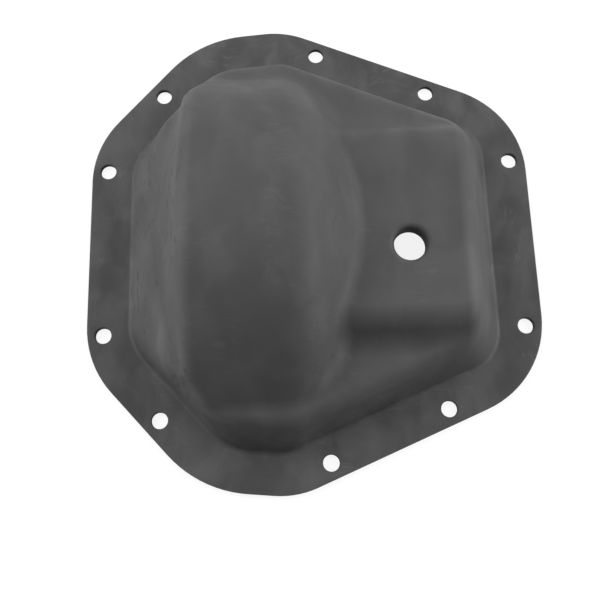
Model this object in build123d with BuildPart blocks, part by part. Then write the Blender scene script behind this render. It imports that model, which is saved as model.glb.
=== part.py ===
from build123d import *

import os
from math import acos, cos, isclose, pi, radians, sin, tan

os.makedirs("parts", exist_ok=True)

# Differential cover, pressed from one sheet of steel. Millimetres, +Z up.
# The gasket face lies on z = 0 and the dome rises along +Z. The ring gear's bulge
# is on the -X side, the carrier's flat pocket on the +X side. The form is the same
# on both sides of y = 0, apart from the fill hole.

# Sheet
sheet_thickness = 3.2

# Flange outline: the four corners of the upper half, from left to right
left_x, left_y = -146.0, 74.5
shoulder_x, shoulder_y = -73.8, 154.6
crest_x, crest_y = -14.3, 160.1
right_x, right_y = 146.0, 93.5
left_corner_radius = 65.0
shoulder_radius = 76.0
crest_radius = 57.0
right_corner_radius = 64.5

# Flat land between the outline and the foot of the dome's wall, side by side
left_land = 27.5
diagonal_land = 28.8
end_land = 25.3
long_land = 26.2
right_land = 29.5

# Bolt holes of the upper half; the lower half mirrors them
bolt_hole_radius = 5.16
blanked_edge_roll = 0.5
bolt_holes = [(-135.4, 56.4), (-98.7, 111.3), (7.0, 140.2), (82.0, 109.2), (135.2, 57.3)]

# Drafted wall round the dome
left_wall_slope = 48.0
diagonal_wall_slope = 78.0
end_wall_slope = 59.0
long_wall_slope = 66.0
right_wall_slope = 65.0
left_wall_corner_radius = 24.0
shoulder_wall_corner_radius = 34.0
crest_wall_corner_radius = 26.0
right_wall_corner_radius = 30.0
root_radius = 3.5
rim_radius = 12.0

# Shelf and carrier pocket, heights above the flange's top face
shelf_height = 27.0
pocket_height = 43.0
pocket_flat_half_width = 50.8
pocket_side_radius = 18.0

# Ring gear bulge, turned about an axis along X under the flange
bulge_height = 80.0
bulge_end_ledge = 5.2
crown_left_x = -78.0
crown_right_x = -6.0
bulge_left_slope = 69.0
bulge_right_slope = 48.0
crown_left_radius = 12.0
crown_right_radius = 30.0
bulge_shoulder_slope = 78.0
bulge_shoulder_ledge = 2.0
bulge_shoulder_radius = 10.0
bulge_foot_radius = 14.0

# Fill hole, with a collar drawn inwards
fill_hole_x = 58.0
fill_hole_y = -14.0
fill_hole_radius = 9.8
fill_mouth_radius = 4.0
fill_collar_length = 9.0
fill_collar_wall = 2.6

# Depth to which the tools' forms run on below the gasket face
run_out = 8.0


def outline_corners():
    """Corners of the flange outline before rounding, round the whole cover."""
    upper = [(left_x, left_y), (shoulder_x, shoulder_y), (crest_x, crest_y), (right_x, right_y)]
    lower = [(x, -y) for x, y in reversed(upper)]
    return [Vector(x, y) for x, y in upper + lower]


def round_trip(upper_values):
    """Repeats the four corner values of the upper half in the order of the lower half."""
    return upper_values + upper_values[::-1]


def wall_planes(skin):
    """Drafted planes of the dome's wall, one over each side of the outline, skin deep."""
    upper = [
        (diagonal_land, diagonal_wall_slope),
        (end_land, end_wall_slope),
        (long_land, long_wall_slope),
    ]
    sides = upper + [(right_land, right_wall_slope)] + upper[::-1] + [(left_land, left_wall_slope)]
    corners = outline_corners()
    planes = []
    for i, (land, slope) in enumerate(sides):
        along = (corners[(i + 1) % len(corners)] - corners[i]).normalized()
        inward = Vector(along.Y, -along.X)
        tilt = radians(slope)
        outward = Vector(-inward.X * sin(tilt), -inward.Y * sin(tilt), cos(tilt))
        foot = corners[i] + inward * land + Vector(0, 0, sheet_thickness)
        planes.append(Plane(origin=foot - outward * skin, z_dir=outward))
    return planes


def is_level_along_x(face):
    """True for a face that runs along X without climbing."""
    return isclose(face.normal_at().X, 0, abs_tol=1e-6)


def wall_form(skin):
    """Lower dome: drafted wall, shelf, and the carrier pocket standing on the right."""
    shelf_z = sheet_thickness + shelf_height - skin
    pocket_z = sheet_thickness + pocket_height - skin
    turn = acos(1 - (pocket_height - shelf_height) / (2 * pocket_side_radius))
    brow_radius = pocket_side_radius - skin
    foot_radius = pocket_side_radius + skin
    brow_y = pocket_flat_half_width
    foot_y = brow_y + 2 * pocket_side_radius * sin(turn)
    middle_y = brow_y + brow_radius * sin(turn)
    middle_z = pocket_z - brow_radius * (1 - cos(turn))
    edge = foot_y + foot_radius
    ridge_x = crown_left_x / 2
    planes = wall_planes(skin)
    corner_radii = [
        left_wall_corner_radius,
        shoulder_wall_corner_radius,
        crest_wall_corner_radius,
        right_wall_corner_radius,
    ]
    with BuildPart() as form:
        with BuildSketch(Plane.XY.offset(-run_out)):
            Rectangle(4 * right_x, 4 * right_x)
        extrude(amount=run_out + shelf_z)
        with BuildSketch(Plane.YZ.offset(ridge_x)):
            with BuildLine():
                Line((-brow_y, pocket_z), (brow_y, pocket_z))
                for side in (1, -1):
                    middle = (side * middle_y, middle_z)
                    RadiusArc((side * brow_y, pocket_z), middle, side * brow_radius)
                    RadiusArc(middle, (side * foot_y, shelf_z), -side * foot_radius)
                    Polyline((side * foot_y, shelf_z), (side * edge, shelf_z), (side * edge, -run_out))
                Line((edge, -run_out), (-edge, -run_out))
            make_face()
        extrude(amount=4 * right_x)
        for plane in planes:
            split(bisect_by=plane, keep=Keep.BOTTOM)
        for i, radius in enumerate(round_trip(corner_radii)):
            before = form.faces().filter_by(planes[i - 1]).edges()
            after = form.faces().filter_by(planes[i]).edges()
            fillet([edge for edge in before if edge in after], radius - skin)
        lid = [face for face in form.faces() if face.center().Z > 0 and is_level_along_x(face)]
        edges = [edge for face in lid for edge in face.edges()]
        rim = [edge for edge in edges if edges.count(edge) == 1]
        fillet([edge for edge in rim if not isclose(edge.center().X, ridge_x)], rim_radius - skin)
    return form.part


def shoulder_plane(skin, side):
    """Plane that trims the bulge's left end corner along the diagonal wall; side is 1 or -1."""
    start, end = outline_corners()[:2]
    along = (end - start).normalized()
    inward = Vector(along.Y, -along.X)
    brink = diagonal_land + shelf_height / tan(radians(diagonal_wall_slope))
    foot = start + inward * (brink + bulge_shoulder_ledge)
    tilt = radians(bulge_shoulder_slope)
    outward = Vector(-inward.X * sin(tilt), -inward.Y * sin(tilt) * side, cos(tilt))
    origin = Vector(foot.X, foot.Y * side, sheet_thickness + shelf_height) - outward * skin
    return Plane(origin=origin, z_dir=outward)


def bulge_radius():
    """Crown radius whose arc comes down to the shelf one ledge short of the end wall's brink."""
    ends = outline_corners()[1:3]
    lean = (ends[1] - ends[0]).normalized().X
    brink_y = shoulder_y - (end_land + shelf_height / tan(radians(end_wall_slope))) / lean
    half_length = brink_y - bulge_end_ledge
    rise = bulge_height - shelf_height
    return (half_length**2 + rise**2) / (2 * rise)


def bulge_form(skin):
    """Ring gear bulge: a turned crown with two conical flanks and trimmed shoulders."""
    axis_z = sheet_thickness + bulge_height - bulge_radius()
    crown = bulge_radius() - skin
    left = crown_left_x + skin * tan(radians(bulge_left_slope / 2))
    right = crown_right_x - skin * tan(radians(bulge_right_slope / 2))
    left_tip = left - crown / tan(radians(bulge_left_slope))
    right_tip = right + crown / tan(radians(bulge_right_slope))
    with BuildPart() as bulge:
        with BuildSketch(Plane.XY.offset(axis_z)):
            with BuildLine():
                FilletPolyline(
                    (left_tip, 0),
                    (left, crown),
                    (right, crown),
                    (right_tip, 0),
                    radius=[crown_left_radius - skin, crown_right_radius - skin],
                )
                Line((right_tip, 0), (left_tip, 0))
            make_face()
        revolve(axis=Axis((0, 0, axis_z), (1, 0, 0)), revolution_arc=180)
        split(bisect_by=Plane.XY.offset(-run_out), keep=Keep.TOP)
        for side in (1, -1):
            trim = shoulder_plane(skin, side)
            split(bisect_by=trim, keep=Keep.BOTTOM)
            flat = bulge.faces().filter_by(trim)[0]
            ridge = [edge for edge in flat.edges() if edge.center().Z > 0]
            fillet(ridge, bulge_shoulder_radius - skin)
    return bulge.part


def pressing(skin):
    """Whole pressed form down to the flange plane, with the skin taken off all round."""
    wall = wall_form(skin)
    bulge = bulge_form(skin)
    with BuildPart() as dome:
        add(wall)
        add(bulge)
        foot = new_edges(wall, bulge, combined=dome.part)
        fillet(foot, bulge_foot_radius + skin)
    with BuildPart() as bed:
        with BuildSketch(Plane.XY.offset(-run_out)):
            Rectangle(4 * right_x, 4 * right_x)
        extrude(amount=run_out + sheet_thickness - skin)
    with BuildPart() as form:
        add(dome.part)
        add(bed.part)
        root = new_edges(dome.part, bed.part, combined=form.part)
        fillet(root, root_radius + skin)
    return form.part


def is_circle(edge, radius):
    """True for a full circle of the given radius."""
    return edge.geom_type == GeomType.CIRCLE and isclose(edge.length, 2 * pi * radius, rel_tol=1e-6)


# The sheet is what lies between the outer form and the same form taken in by one thickness.
outer_form = pressing(0)
inner_form = pressing(sheet_thickness)
outline_radii = [left_corner_radius, shoulder_radius, crest_radius, right_corner_radius]

with BuildPart() as cover:
    with BuildSketch(Plane.XY):
        with BuildLine():
            FilletPolyline(*outline_corners(), radius=round_trip(outline_radii), close=True)
        make_face()
    extrude(amount=sheet_thickness + bulge_height + run_out)
    add(outer_form, mode=Mode.INTERSECT)
    add(inner_form, mode=Mode.SUBTRACT)

    # Bolt holes, in mirrored pairs
    with Locations(*[(x, side * y, sheet_thickness) for x, y in bolt_holes for side in (1, -1)]):
        Hole(bolt_hole_radius, depth=sheet_thickness)

    # Fill hole: a turned collar, drawn inwards from the pocket's top face
    mouth_reach = fill_hole_radius + fill_mouth_radius
    collar_reach = fill_hole_radius + fill_collar_wall
    bend_radius = fill_mouth_radius - fill_collar_wall
    with Locations((fill_hole_x, fill_hole_y, sheet_thickness + pocket_height)):
        Hole(mouth_reach, depth=sheet_thickness)
    mouth_z = sheet_thickness - fill_mouth_radius
    collar_z = sheet_thickness - fill_collar_length
    hole_base = (fill_hole_x, fill_hole_y, pocket_height)
    with BuildSketch(Plane(origin=hole_base, x_dir=(1, 0, 0), z_dir=(0, -1, 0))):
        with BuildLine():
            Line((mouth_reach, 0), (mouth_reach, sheet_thickness))
            RadiusArc((mouth_reach, sheet_thickness), (fill_hole_radius, mouth_z), -fill_mouth_radius)
            Polyline(
                (fill_hole_radius, mouth_z),
                (fill_hole_radius, collar_z),
                (collar_reach, collar_z),
                (collar_reach, -bend_radius),
            )
            RadiusArc((collar_reach, -bend_radius), (mouth_reach, 0), bend_radius)
        make_face()
    revolve(axis=Axis(hole_base, (0, 0, 1)))

    # Blanked edges: the press leaves a small roll round the outline and the bolt holes
    land = cover.faces().filter_by(Axis.Z).sort_by_distance((left_x, 0, sheet_thickness))[0]
    hole_rims = land.edges().filter_by(lambda edge: is_circle(edge, bolt_hole_radius))
    chamfer(land.outer_wire().edges() + hole_rims, blanked_edge_roll)

cover.part.label = "cover"
export_step(cover.part, "parts/cover.step")
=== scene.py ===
"""Dresses the pressed steel differential cover and sets it in a plain pale studio."""

import logging
import math
from dataclasses import dataclass, field
from enum import Enum

import bmesh
import bpy
from mathutils import Matrix, Vector


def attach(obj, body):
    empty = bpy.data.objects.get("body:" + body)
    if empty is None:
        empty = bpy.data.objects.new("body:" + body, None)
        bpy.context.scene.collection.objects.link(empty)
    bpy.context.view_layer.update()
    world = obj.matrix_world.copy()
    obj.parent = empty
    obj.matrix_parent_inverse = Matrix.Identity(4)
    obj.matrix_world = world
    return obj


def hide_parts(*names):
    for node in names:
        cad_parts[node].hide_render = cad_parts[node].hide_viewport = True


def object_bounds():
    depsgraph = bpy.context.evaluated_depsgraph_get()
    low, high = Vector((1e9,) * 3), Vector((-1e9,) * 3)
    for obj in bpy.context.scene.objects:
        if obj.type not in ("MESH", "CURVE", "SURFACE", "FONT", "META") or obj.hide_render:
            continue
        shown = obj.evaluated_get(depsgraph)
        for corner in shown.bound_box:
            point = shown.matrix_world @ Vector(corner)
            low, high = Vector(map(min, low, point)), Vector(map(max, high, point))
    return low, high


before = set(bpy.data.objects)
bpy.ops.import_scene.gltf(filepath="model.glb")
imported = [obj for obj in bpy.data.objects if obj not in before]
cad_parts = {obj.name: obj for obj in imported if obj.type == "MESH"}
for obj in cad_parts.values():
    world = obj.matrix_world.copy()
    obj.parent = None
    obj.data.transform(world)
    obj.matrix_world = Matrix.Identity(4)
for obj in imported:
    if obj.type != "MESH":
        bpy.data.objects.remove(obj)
CAD_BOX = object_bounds()

log = logging.getLogger("cover")
MM = 0.001


class Socket(Enum):
    """Kinds of value that a node group hands over."""

    VALUE = "NodeSocketFloat"
    VECTOR = "NodeSocketVector"


class NodeBook:
    """Short way of placing, setting and joining shader nodes in one tree.

    Args:
        tree: The material's or the group's node tree.
    """

    def __init__(self, tree: bpy.types.ShaderNodeTree) -> None:
        self.tree = tree

    def put(self, kind: str, **settings: object) -> bpy.types.Node:
        """Adds a node and sets its properties.

        Args:
            kind: The node's type, without the word ShaderNode.
            **settings: Property values.

        Returns:
            The new node.
        """
        node = self.tree.nodes.new(f"ShaderNode{kind}")
        for name, value in settings.items():
            setattr(node, name, value)
        return node

    def join(self, source: object, target: object) -> None:
        """Joins a node's output socket to an input socket, or sets the input to a value.

        Args:
            source: Output socket, or a constant.
            target: Input socket.
        """
        if isinstance(source, bpy.types.NodeSocket):
            self.tree.links.new(source, target)
        else:
            target.default_value = source

    def sum_up(self, operation: str, *terms: object) -> bpy.types.NodeSocket:
        """Works out one math operation.

        Args:
            operation: Name of the math node's operation.
            *terms: Output sockets or constants.

        Returns:
            The result's socket.
        """
        node = self.put("Math", operation=operation)
        for slot, term in enumerate(terms):
            self.join(term, node.inputs[slot])
        return node.outputs[0]

    def ramp(
        self,
        value: object,
        low: float,
        high: float,
        from_: float = 0.0,
        to: float = 1.0,
    ) -> bpy.types.NodeSocket:
        """Maps a value smoothly from one range to another.

        Args:
            value: Output socket of the value.
            low: Value at which the result starts to change.
            high: Value at which the result is complete.
            from_: Result below low.
            to: Result above high.

        Returns:
            The result's socket.
        """
        node = self.put("MapRange", interpolation_type="SMOOTHSTEP")
        for slot, term in enumerate((value, low, high, from_, to)):
            self.join(term, node.inputs[slot])
        return node.outputs[0]

    def noise(
        self,
        place: object,
        scale: float,
        detail: float,
        stretch: tuple[float, float, float] = (1.0, 1.0, 1.0),
    ) -> bpy.types.NodeSocket:
        """Samples noise, stretched along the axes.

        Args:
            place: Output socket of the place.
            scale: Waves in a metre.
            detail: Octaves.
            stretch: Factor on each axis; a small factor draws the pattern out.

        Returns:
            The noise's value socket.
        """
        mapping = self.put("Mapping")
        self.join(place, mapping.inputs["Vector"])
        mapping.inputs["Scale"].default_value = stretch
        node = self.put("TexNoise")
        self.join(mapping.outputs[0], node.inputs["Vector"])
        node.inputs["Scale"].default_value = scale
        node.inputs["Detail"].default_value = detail
        return node.outputs["Fac"]

    def scaled(self, vector: object, factor: object) -> bpy.types.NodeSocket:
        """Multiplies a vector or a colour by a number.

        Args:
            vector: Socket or value of the vector.
            factor: Socket or value of the number.

        Returns:
            The result's socket.
        """
        node = self.put("VectorMath", operation="SCALE")
        self.join(vector, node.inputs[0])
        self.join(factor, node.inputs["Scale"])
        return node.outputs[0]

    def blend(self, share: object, first: object, second: object) -> bpy.types.NodeSocket:
        """Mixes two colours by a share.

        Args:
            share: Share of the second colour.
            first: Socket or value of the first colour.
            second: Socket or value of the second colour.

        Returns:
            The mixed colour's socket.
        """
        node = self.put("Mix", data_type="VECTOR")
        self.join(share, node.inputs["Factor"])
        self.join(first, node.inputs["A"])
        self.join(second, node.inputs["B"])
        return node.outputs["Result"]

    def bumped(self, height: object, distance: float, normal: object = None) -> bpy.types.NodeSocket:
        """Tilts the normal by a height.

        Args:
            height: Socket of the height.
            distance: Height of the relief at a value of 1.
            normal: Socket of the normal to start from, or None for the surface's own.

        Returns:
            The tilted normal's socket.
        """
        node = self.put("Bump")
        node.inputs["Distance"].default_value = distance
        self.join(height, node.inputs["Height"])
        if normal is not None:
            self.join(normal, node.inputs["Normal"])
        return node.outputs["Normal"]


def open_group(
    name: str, inputs: dict[str, Socket], outputs: dict[str, Socket]
) -> tuple[NodeBook, bpy.types.Node, bpy.types.Node]:
    """Starts a shader node group with its sockets and its two ends.

    Args:
        name: The group's name.
        inputs: Kind of each input.
        outputs: Kind of each output.

    Returns:
        A book on the group's tree, the node of its inputs and the node of its outputs.
    """
    tree = bpy.data.node_groups.new(name, "ShaderNodeTree")
    for way, sockets in (("INPUT", inputs), ("OUTPUT", outputs)):
        for label, kind in sockets.items():
            tree.interface.new_socket(label, in_out=way, socket_type=kind.value)
    return NodeBook(tree), tree.nodes.new("NodeGroupInput"), tree.nodes.new("NodeGroupOutput")


@dataclass(frozen=True)
class CoatedSteel:
    """Dark grey satin coating on drawn sheet steel, with bare sheared edges, painted shade in the punched
    holes and painted light on the raised faces.

    Attributes:
        base: Colour of the clean coating.
        sheared: Colour of the outline's cut edge.
        pierced_shade: Painted shade: near-black colour of the walls of the punched holes and their mouths,
            standing in for the shade inside them.
        roughness: Roughness of the clean coating.
        wiped_rough: Change of the roughness where the coating is wiped.
        scuff_rough: Change of the roughness in a scuff.
        sheared_rough: Change of the roughness on the outline's cut edge.
        pierced_rough: Change of the roughness on the walls of the punched holes.
        specular: Strength of the coating's clear reflection.
        smudge_waves: Waves in a metre of the handling smudges; the broad ones have a quarter.
        swirl_waves: Waves in a metre of the swirl that bends smudges and streaks.
        swirl_reach: Distance by which the swirl bends them.
        smudge_depth: Share by which a smudge changes the flange's colour.
        crown_share: Share of the smudges that is left on the raised faces.
        crown_painted_light: Painted light: share by which the raised faces are made lighter than the
            flange.
        flange_top: Height up to which the smudges are at their strongest and no painted light is added.
        crown_foot: Height from which the raised faces are at their cleanest and carry their full painted
            light.
        wipe_depth: Share by which a wiped streak lightens the colour.
        streak_waves: Waves in a metre across the wiped streaks.
        streak_draw: Factor that draws the streaks out.
        side_lands: Distances from the middle between which the streaks turn along the side lands.
        patch_waves: Waves in a metre of the patches in which streaks lie.
        scuff_depth: Share by which the die's scuffs darken the flanks.
        scuff_waves: Waves in a metre across the scuffs.
        worn_waves: Waves in a metre of the patches in which scuffs lie.
        striae_waves: Waves in a metre of the marks that shearing leaves on an edge.
        ripple_waves: Waves in a metre of the sheet's slow waves.
        ripple_height: Height of the sheet's slow waves.
        grain_waves: Waves in a metre of the coating's fine grain.
        grain_height: Height of the coating's fine grain.
    """

    name: str = "coated_steel"
    base: tuple[float, float, float] = (0.0652, 0.0652, 0.0653)
    sheared: tuple[float, float, float] = (0.105, 0.105, 0.104)
    pierced_shade: tuple[float, float, float] = (0.012, 0.011, 0.010)
    roughness: float = 0.53
    wiped_rough: float = -0.06
    scuff_rough: float = 0.15
    sheared_rough: float = -0.08
    pierced_rough: float = 0.25
    specular: float = 0.18
    smudge_waves: float = 55.0
    swirl_waves: float = 30.0
    swirl_reach: float = 30 * MM
    smudge_depth: float = 0.52
    crown_share: float = 0.5
    crown_painted_light: float = 0.07
    flange_top: float = 4 * MM
    crown_foot: float = 30 * MM
    wipe_depth: float = 0.34
    streak_waves: float = 420.0
    streak_draw: float = 0.10
    side_lands: tuple[float, float] = (90 * MM, 115 * MM)
    patch_waves: float = 26.0
    scuff_depth: float = 0.34
    scuff_waves: float = 430.0
    worn_waves: float = 40.0
    striae_waves: float = 900.0
    ripple_waves: float = 34.0
    ripple_height: float = 0.16 * MM
    grain_waves: float = 1100.0
    grain_height: float = 0.03 * MM

    def smudges(self) -> bpy.types.ShaderNodeTree:
        """Makes the group of handling smudges, with the painted light on the raised faces.

        Returns:
            Group that gives a lighter or darker tone, painted light on the raised faces included, and
            where the coating is wiped smoother.
        """
        results = {"Tone": Socket.VALUE, "Wiped": Socket.VALUE}
        book, given, taken = open_group("smudges_and_painted_light", {"Place": Socket.VECTOR}, results)
        place = given.outputs["Place"]
        drift = book.put("TexNoise")
        book.join(place, drift.inputs["Vector"])
        drift.inputs["Scale"].default_value = self.swirl_waves
        drift.inputs["Detail"].default_value = 2.0
        swirl = book.put("VectorMath", operation="MULTIPLY_ADD")
        book.join(drift.outputs["Color"], swirl.inputs[0])
        book.join((self.swirl_reach,) * 3, swirl.inputs[1])
        book.join(place, swirl.inputs[2])
        broad = book.noise(place, self.smudge_waves / 4, 3.0)
        wisps = book.noise(swirl.outputs[0], self.smudge_waves, 6.0, (1.0, 0.5, 1.0))
        both = book.sum_up("MULTIPLY_ADD", wisps, 0.65, book.sum_up("MULTIPLY", broad, 0.35))
        spot = book.put("SeparateXYZ")
        book.join(place, spot.inputs[0])
        handled = book.ramp(spot.outputs["Z"], self.flange_top, self.crown_foot, 1.0, self.crown_share)
        swing = book.ramp(both, 0.35, 0.65, -self.smudge_depth / 2, self.smudge_depth / 2)
        across = book.noise(swirl.outputs[0], self.streak_waves, 2.0, (self.streak_draw, 1.0, 1.0))
        upward = book.noise(swirl.outputs[0], self.streak_waves, 2.0, (1.0, self.streak_draw, 1.0))
        side = book.ramp(book.sum_up("ABSOLUTE", spot.outputs["X"]), *self.side_lands)
        turned = book.sum_up("MULTIPLY", side, book.sum_up("SUBTRACT", upward, across))
        streaks = book.sum_up("ADD", across, turned)
        patches = book.noise(place, self.patch_waves, 1.0)
        wiped = book.sum_up("MULTIPLY", book.ramp(streaks, 0.56, 0.7), book.ramp(patches, 0.5, 0.66))
        change = book.sum_up("MULTIPLY_ADD", wiped, self.wipe_depth, swing)
        # Painted light: the colour grows lighter with height, from the flange up to the raised faces.
        raised_painted_light = book.ramp(spot.outputs["Z"], self.flange_top, self.crown_foot, 1.0, 1.0 + self.crown_painted_light)
        book.join(book.sum_up("MULTIPLY_ADD", change, handled, raised_painted_light), taken.inputs["Tone"])
        book.join(book.ramp(wisps, 0.5, 0.68), taken.inputs["Wiped"])
        return book.tree

    def scuffs(self) -> bpy.types.ShaderNodeTree:
        """Makes the group of the die's scuffs.

        Returns:
            Group that gives short dark marks drawn out along the flanks, most of them on the left.
        """
        givens = {"Place": Socket.VECTOR, "Normal": Socket.VECTOR}
        book, given, taken = open_group("die_scuffs", givens, {"Scuff": Socket.VALUE})
        marks = book.noise(given.outputs["Place"], self.scuff_waves, 3.0, (1.0, 0.3, 0.55))
        patches = book.noise(given.outputs["Place"], self.worn_waves, 2.0)
        parts = book.put("SeparateXYZ")
        book.join(given.outputs["Normal"], parts.inputs[0])
        left = book.ramp(parts.outputs["X"], -0.65, -0.35, 1.0, 0.0)
        right = book.ramp(parts.outputs["X"], 0.4, 0.65, 0.0, 0.35)
        worn = book.sum_up("MULTIPLY", book.ramp(marks, 0.54, 0.7), book.ramp(patches, 0.45, 0.62))
        book.join(book.sum_up("MULTIPLY", worn, book.sum_up("ADD", left, right)), taken.inputs["Scuff"])
        return book.tree

    def material(self) -> bpy.types.Material:
        """Builds the coating's material.

        Returns:
            The material.
        """
        material = bpy.data.materials.new(self.name)
        material.use_nodes = True
        book = NodeBook(material.node_tree)
        shader = material.node_tree.nodes["Principled BSDF"]
        where = book.put("TexCoord")
        place = where.outputs["Object"]

        # The smudge group also paints light onto the raised faces.
        smudge = book.put("Group", node_tree=self.smudges())
        book.join(place, smudge.inputs["Place"])
        scuff = book.put("Group", node_tree=self.scuffs())
        book.join(place, scuff.inputs["Place"])
        book.join(where.outputs["Normal"], scuff.inputs["Normal"])
        cut = book.put("Attribute", attribute_name="sheared").outputs["Fac"]
        hole = book.put("Attribute", attribute_name="pierced_shade").outputs["Fac"]

        loss = book.sum_up("MULTIPLY", scuff.outputs["Scuff"], self.scuff_depth)
        tone = book.sum_up("MULTIPLY", smudge.outputs["Tone"], book.sum_up("SUBTRACT", 1.0, loss))
        coat = book.scaled(self.base, tone)
        striae = book.noise(place, self.striae_waves, 2.0, (1.0, 1.0, 0.12))
        bare = book.scaled(self.sheared, book.ramp(striae, 0.3, 0.7, 0.7, 1.25))
        edged = book.blend(cut, coat, bare)
        # Painted shade: hole walls and their mouths are blended to a near-black colour, standing in for
        # the shade inside the holes.
        book.join(book.blend(hole, edged, self.pierced_shade), shader.inputs["Base Color"])

        rough = self.roughness
        for found, change in (
            (smudge.outputs["Wiped"], self.wiped_rough),
            (scuff.outputs["Scuff"], self.scuff_rough),
            (cut, self.sheared_rough),
            (hole, self.pierced_rough),
        ):
            rough = book.sum_up("MULTIPLY_ADD", found, change, rough)
        book.join(rough, shader.inputs["Roughness"])

        ripple = book.bumped(book.noise(place, self.ripple_waves, 1.0), self.ripple_height)
        grain = book.bumped(book.noise(place, self.grain_waves, 2.0), self.grain_height, ripple)
        book.join(grain, shader.inputs["Normal"])

        shader.inputs["Metallic"].default_value = 0.0
        shader.inputs["Specular IOR Level"].default_value = self.specular
        return material


@dataclass
class PressedCover:
    """The cover's skin: the solid's own faces, joined up and shaded as one smooth pressing.

    Attributes:
        node: The CAD node whose form the skin takes.
        body: The body that carries it.
        finish: Its material.
        sheet_thickness: Thickness of the flange.
        crease_deg: Angle above which an edge stays sharp.
        weld_distance: Distance within which corners of the solid's facets are one.
        upright: Largest climb of a face's normal that still counts as a cut wall.
        rolled: Largest climb of the small roll next to a cut edge.
        hole_span: Largest width of a punched hole.
        mouth: Climb of a face's normal at which the painted shade round a hole's mouth ends.
        flat_weight: How far large faces rule the shading over small ones, 50 being even.
    """

    node: str = "cover"
    body: str = "root"
    finish: CoatedSteel = field(default_factory=CoatedSteel)
    sheet_thickness: float = 3.2 * MM
    crease_deg: float = 35.0
    weld_distance: float = 0.002 * MM
    upright: float = 0.02
    rolled: float = 0.8
    hole_span: float = 30 * MM
    mouth: float = 0.85
    flat_weight: int = 80

    def walls(self, work: bmesh.types.BMesh) -> list[set[bmesh.types.BMFace]]:
        """Finds the upright walls, each as one set of touching faces.

        Args:
            work: The skin's mesh.

        Returns:
            The walls.
        """
        left = {face for face in work.faces if abs(face.normal.z) < self.upright}
        found = []
        while left:
            wall, edge = set(), [left.pop()]
            while edge:
                face = edge.pop()
                wall.add(face)
                near = {other for side in face.edges for other in side.link_faces if other in left}
                left -= near
                edge.extend(near)
            found.append(wall)
        return found

    def drawn_mouth(self, wall: set[bmesh.types.BMFace]) -> set[bmesh.types.BMFace]:
        """Finds the rounded mouth through which a hole's wall meets the sheet.

        Args:
            wall: The hole's wall.

        Returns:
            The mouth's faces.
        """
        mouth, edge = set(), list(wall)
        while edge:
            face = edge.pop()
            near = {other for side in face.edges for other in side.link_faces}
            near = {other for other in near - wall - mouth if self.upright < other.normal.z < self.mouth}
            mouth |= near
            edge.extend(near)
        return mouth

    def mark_cuts(self, work: bmesh.types.BMesh) -> tuple[int, int]:
        """Writes the outline's cut edge as "sheared" and hole walls as "pierced_shade", the mask of the
        painted shade in the holes.

        The painted shade on a mouth fades from 1 at its wall to 0 at the sheet.

        Args:
            work: The skin's mesh.

        Returns:
            Number of faces marked as sheared and as pierced_shade.
        """
        sheared = work.faces.layers.float.new("sheared")
        pierced_shade = work.faces.layers.float.new("pierced_shade")
        counts = [0, 0]
        for wall in self.walls(work):
            spots = [corner.co for face in wall for corner in face.verts]
            across = [[spot[axis] for spot in spots] for axis in (0, 1)]
            spans = [max(values) - min(values) for values in across]
            if max(spans) < self.hole_span:
                # Painted shade mask: a hole's wall is fully darkened, and its mouth fades out towards the
                # sheet.
                for face in wall:
                    face[pierced_shade] = 1.0
                for face in self.drawn_mouth(wall):
                    face[pierced_shade] = 1.0 - face.normal.z / self.mouth
                counts[1] += len(wall)
            elif max(spot.z for spot in spots) < CAD_BOX[0][2] + self.sheet_thickness:
                rolls = {other for face in wall for side in face.edges for other in side.link_faces}
                cut = wall | {face for face in rolls if self.upright < face.normal.z < self.rolled}
                for face in cut:
                    face[sheared] = 1.0
                counts[0] += len(cut)
        return counts[0], counts[1]

    def build(self) -> bpy.types.Object:
        """Makes the skin from the CAD node and dresses it.

        Returns:
            The skin's object.
        """
        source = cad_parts[self.node]
        mesh = source.data.copy()
        mesh.name = "cover_skin"
        work = bmesh.new()
        work.from_mesh(mesh)
        bmesh.ops.remove_doubles(work, verts=work.verts, dist=self.weld_distance)
        work.normal_update()
        sheared, pierced_shade = self.mark_cuts(work)
        work.to_mesh(mesh)
        work.free()
        mesh.materials.clear()
        mesh.materials.append(self.finish.material())
        skin = bpy.data.objects.new("cover_skin", mesh)
        bpy.context.scene.collection.objects.link(skin)
        mesh.shade_smooth()
        mesh.set_sharp_from_angle(angle=math.radians(self.crease_deg))
        weight = skin.modifiers.new("weighted_normals", "WEIGHTED_NORMAL")
        weight.keep_sharp = True
        weight.weight = self.flat_weight
        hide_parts(self.node)
        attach(skin, self.body)
        log.info("cover_skin: %d faces, %d sheared, %d pierced", len(mesh.polygons), sheared, pierced_shade)
        return skin


@dataclass(frozen=True)
class SoftLamp:
    """Rectangular soft lamp that looks at the object from a direction.

    Attributes:
        name: The lamp's name.
        azimuth_deg: Direction seen from above, from +X towards +Y.
        elevation_deg: Height of the direction above the floor.
        power: Power in watts.
        distance: Distance from the object's middle.
        size: Width and height.
    """

    name: str
    azimuth_deg: float
    elevation_deg: float
    power: float
    distance: float = 1.4
    size: tuple[float, float] = (1.0, 0.7)

    def hang(self, aim: Vector) -> bpy.types.Object:
        """Hangs the lamp.

        Args:
            aim: Point that it looks at.

        Returns:
            The lamp's object.
        """
        turn, climb = math.radians(self.azimuth_deg), math.radians(self.elevation_deg)
        way = Vector((math.cos(climb) * math.cos(turn), math.cos(climb) * math.sin(turn), math.sin(climb)))
        data = bpy.data.lights.new(self.name, "AREA")
        data.shape = "RECTANGLE"
        data.size, data.size_y = self.size
        data.energy = self.power
        lamp = bpy.data.objects.new(self.name, data)
        lamp.location = aim + way * self.distance
        lamp.rotation_mode = "QUATERNION"
        lamp.rotation_quaternion = (-way).to_track_quat("-Z", "Y")
        bpy.context.scene.collection.objects.link(lamp)
        return lamp


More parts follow.
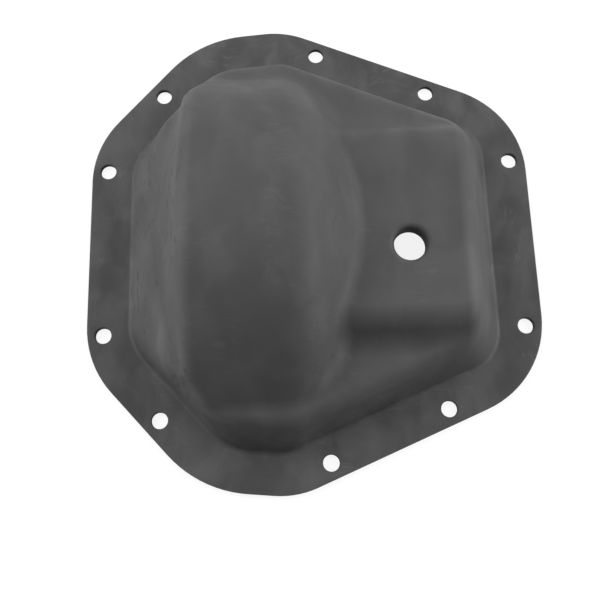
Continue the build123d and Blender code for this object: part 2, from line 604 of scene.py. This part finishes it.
@dataclass
class Studio:
    """Pale floor, soft lamps and the camera of the photograph.

    Attributes:
        eye: The camera's place.
        tilt_rad: The camera's turns about X, Y and Z.
        lens: Focal length in millimetres.
        sensor: Sensor width in millimetres.
        floor_size: Side of the floor.
        floor_colour: Colour under the lamps.
        floor_glow: Glow that the camera and mirror rays see, so that the floor reads white.
        world_level: Even light from all round.
        world_glow: Level of the far background that the camera and mirror rays see.
        aim: Point that the lamps look at.
        lamps: The lamps: low and middling ones on both sides, the others behind and above.
    """

    eye: tuple[float, float, float] = (-0.01645, -0.16711, 0.50279)
    tilt_rad: tuple[float, float, float] = (-0.2559, 0.0133, 0.0272)
    lens: float = 48.0
    sensor: float = 36.0
    floor_size: float = 60.0
    floor_colour: tuple[float, float, float] = (0.16, 0.16, 0.16)
    floor_glow: float = 0.87
    world_level: float = 0.04
    world_glow: float = 0.90
    aim: tuple[float, float, float] = (0.0, 0.0, 0.03)
    lamps: tuple[SoftLamp, ...] = (
        SoftLamp("left_low", 180, 12, 7.2),
        SoftLamp("left", 180, 30, 5.6),
        SoftLamp("right_low", 0, 10, 8.4),
        SoftLamp("right", 0, 30, 9.1),
        SoftLamp("back_left", 135, 35, 10.4),
        SoftLamp("back_right", 45, 35, 5.1),
        SoftLamp("overhead", 90, 78, 3.9),
    )

    def camera(self) -> None:
        """Sets the camera where the photograph was taken from."""
        tilt_x, turn_y, roll_z = self.tilt_rad
        to_camera = Matrix.Rotation(roll_z, 3, "Z") @ Matrix.Rotation(turn_y, 3, "Y")
        to_camera = to_camera @ Matrix.Rotation(tilt_x, 3, "X")
        data = bpy.data.cameras.new("camera")
        data.lens = self.lens
        data.sensor_width = self.sensor
        data.clip_start = 0.01
        eye = bpy.data.objects.new("camera", data)
        eye.matrix_world = Matrix.Translation(self.eye) @ to_camera.transposed().to_4x4()
        bpy.context.scene.collection.objects.link(eye)
        bpy.context.scene.camera = eye

    def seen(self, book: NodeBook) -> bpy.types.NodeSocket:
        """Tells rays of the camera and of mirrors and glass from the rays that carry light.

        Args:
            book: Book on the tree.

        Returns:
            Socket that is 1 for a ray of the camera, a mirror or glass, and 0 for others.
        """
        path = book.put("LightPath")
        mirror = book.sum_up("MAXIMUM", path.outputs["Is Glossy Ray"], path.outputs["Is Transmission Ray"])
        return book.sum_up("MAXIMUM", path.outputs["Is Camera Ray"], mirror)

    def floor(self) -> None:
        """Lays the floor."""
        half = self.floor_size / 2
        mesh = bpy.data.meshes.new("floor")
        corners = [(-half, -half, 0), (half, -half, 0), (half, half, 0), (-half, half, 0)]
        mesh.from_pydata(corners, [], [(0, 1, 2, 3)])
        material = bpy.data.materials.new("floor")
        material.use_nodes = True
        book = NodeBook(material.node_tree)
        shader = material.node_tree.nodes["Principled BSDF"]
        shader.inputs["Base Color"].default_value = (*self.floor_colour, 1)
        shader.inputs["Roughness"].default_value = 1.0
        shader.inputs["Specular IOR Level"].default_value = 0.0
        shader.inputs["Emission Color"].default_value = (1, 1, 1, 1)
        glow = book.sum_up("MULTIPLY", self.seen(book), self.floor_glow)
        book.join(glow, shader.inputs["Emission Strength"])
        mesh.materials.append(material)
        floor = bpy.data.objects.new("floor", mesh)
        bpy.context.scene.collection.objects.link(floor)

    def light(self) -> None:
        """Hangs the lamps and lights the world evenly."""
        for lamp in self.lamps:
            lamp.hang(Vector(self.aim))
        world = bpy.data.worlds.new("studio")
        world.use_nodes = True
        background = world.node_tree.nodes["Background"]
        background.inputs["Color"].default_value = (1, 1, 1, 1)
        book = NodeBook(world.node_tree)
        extra = self.world_glow - self.world_level
        glow = book.sum_up("MULTIPLY_ADD", self.seen(book), extra, self.world_level)
        book.join(glow, background.inputs["Strength"])
        bpy.context.scene.world = world

    def build(self) -> None:
        """Builds the whole studio."""
        self.camera()
        self.floor()
        self.light()
        bpy.context.scene.view_settings.view_transform = "Standard"
        log.info("studio: %d lamps", len(self.lamps))


def main() -> None:
    """Builds the studio and the cover."""
    logging.basicConfig(level=logging.INFO, format="%(name)s %(message)s")
    Studio().build()
    PressedCover().build()
    bpy.context.view_layer.update()


if __name__ == "__main__":
    main()
